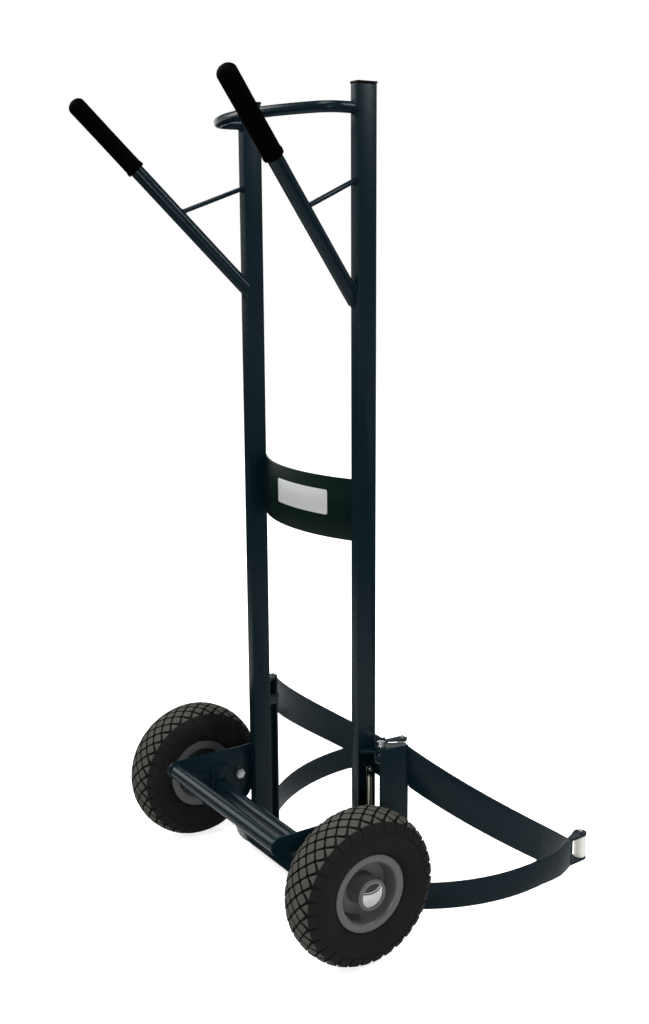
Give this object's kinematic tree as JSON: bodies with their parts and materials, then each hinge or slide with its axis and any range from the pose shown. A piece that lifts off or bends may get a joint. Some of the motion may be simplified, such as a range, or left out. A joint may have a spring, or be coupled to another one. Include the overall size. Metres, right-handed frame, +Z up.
{
  "type": "tyre trolley",
  "caption": "Two-wheeled hand trolley that lifts a stack of car tyres between two sprung, curved swing arms with nylon tip rollers.",
  "frame": {"origin": "on the floor, in the middle of the trolley's box", "axes": "+Z up, +Y forward to the load, +X to the right of a user behind the handles"},
  "size_m": [0.6522, 0.7206, 1.3743],
  "materials": {
    "frame_paint": "very dark slate green powder coat, satin",
    "band_paint": "very dark green powder coat, satin",
    "zinc": "bright zinc plate",
    "yellow_zinc": "pale yellow zinc plate",
    "chrome": "polished chrome",
    "spring_steel": "bright zinc-plated spring wire",
    "axle_steel": "bright drawn steel",
    "tyre_rubber": "black rubber, worn grey on the tread",
    "rim_plastic": "moulded mid-grey plastic",
    "bush_plastic": "pale grey plastic",
    "grip_foam": "matte black soft grip",
    "cap_plastic": "matte black plastic",
    "roller_nylon": "off-white nylon"
  },
  "bodies": {
    "frame": {"top_bow": "frame_paint", "mid_band": "band_paint", "bottom_brace": "frame_paint", "foot_bar": "frame_paint", "axle_tube": "frame_paint", "axle": "axle_steel", "upright_left": "frame_paint", "upright_right": "frame_paint", "upright_cap_left": "cap_plastic", "upright_cap_right": "cap_plastic", "handle_tube_left": "frame_paint", "handle_tube_right": "frame_paint", "handle_grip_left": "grip_foam", "handle_grip_right": "grip_foam", "handle_stay_left": "frame_paint", "handle_stay_right": "frame_paint", "side_plate_left": "frame_paint", "side_plate_right": "frame_paint", "axle_keeper_left": "frame_paint", "axle_keeper_right": "frame_paint", "plate_bolt_left": "zinc", "plate_bolt_right": "zinc", "axle_spacer_left": "yellow_zinc", "axle_spacer_right": "yellow_zinc", "axle_cap_left": "chrome", "axle_cap_right": "chrome", "hinge_foot_left": "zinc", "hinge_foot_right": "zinc", "hinge_ear_left": "frame_paint", "hinge_ear_right": "frame_paint", "hinge_bolt_upper_left": "zinc", "hinge_bolt_upper_right": "zinc", "hinge_nut_left": "zinc", "hinge_nut_right": "zinc", "hinge_bolt_lower_left": "zinc", "hinge_bolt_lower_right": "zinc", "swing_stop_left": "frame_paint", "swing_stop_right": "frame_paint", "spring_anchor_left": "zinc", "spring_anchor_right": "zinc", "spring_left": "spring_steel", "spring_right": "spring_steel"},
    "wheel_left": {"rim_left": "rim_plastic", "tyre_left": "tyre_rubber", "hub_bush_left": "bush_plastic"},
    "arm_left": {"arm_post_left": "frame_paint", "arm_upper_strap_left": "frame_paint", "arm_lower_strap_left": "frame_paint", "tip_bracket_left": "frame_paint", "tip_pin_left": "zinc"},
    "roller_left": {"tip_roller_left": "roller_nylon"},
    "wheel_right": {"rim_right": "rim_plastic", "tyre_right": "tyre_rubber", "hub_bush_right": "bush_plastic"},
    "arm_right": {"arm_post_right": "frame_paint", "arm_upper_strap_right": "frame_paint", "arm_lower_strap_right": "frame_paint", "tip_bracket_right": "frame_paint", "tip_pin_right": "zinc"},
    "roller_right": {"tip_roller_right": "roller_nylon"}
  },
  "joints": [
    {"name": "wheel_left_spin", "type": "hinge", "parent": "frame", "child": "wheel_left", "pos_m": [-0.2813, -0.15047, 0.13], "axis": [1, 0, 0], "continuous": true},
    {"name": "wheel_right_spin", "type": "hinge", "parent": "frame", "child": "wheel_right", "pos_m": [0.2813, -0.15047, 0.13], "axis": [1, 0, 0], "continuous": true},
    {"name": "arm_left_swing", "type": "hinge", "parent": "frame", "child": "arm_left", "pos_m": [-0.197, -0.04747, 0.0053], "axis": [0, 0, 1], "range_deg": [0, 30], "stiffness_Nm_per_rad": 9, "springref_deg": -17.19, "deforming": ["spring_left"]},
    {"name": "arm_right_swing", "type": "hinge", "parent": "frame", "child": "arm_right", "pos_m": [0.197, -0.04747, 0.0053], "axis": [0, 0, -1], "range_deg": [0, 30], "stiffness_Nm_per_rad": 9, "springref_deg": -17.19, "deforming": ["spring_right"]},
    {"name": "roller_left_spin", "type": "hinge", "parent": "arm_left", "child": "roller_left", "pos_m": [-0.2713, 0.34838, 0.05571], "axis": [0, 0, 1], "continuous": true},
    {"name": "roller_right_spin", "type": "hinge", "parent": "arm_right", "child": "roller_right", "pos_m": [0.2713, 0.34838, 0.05571], "axis": [0, 0, 1], "continuous": true}
  ]
}
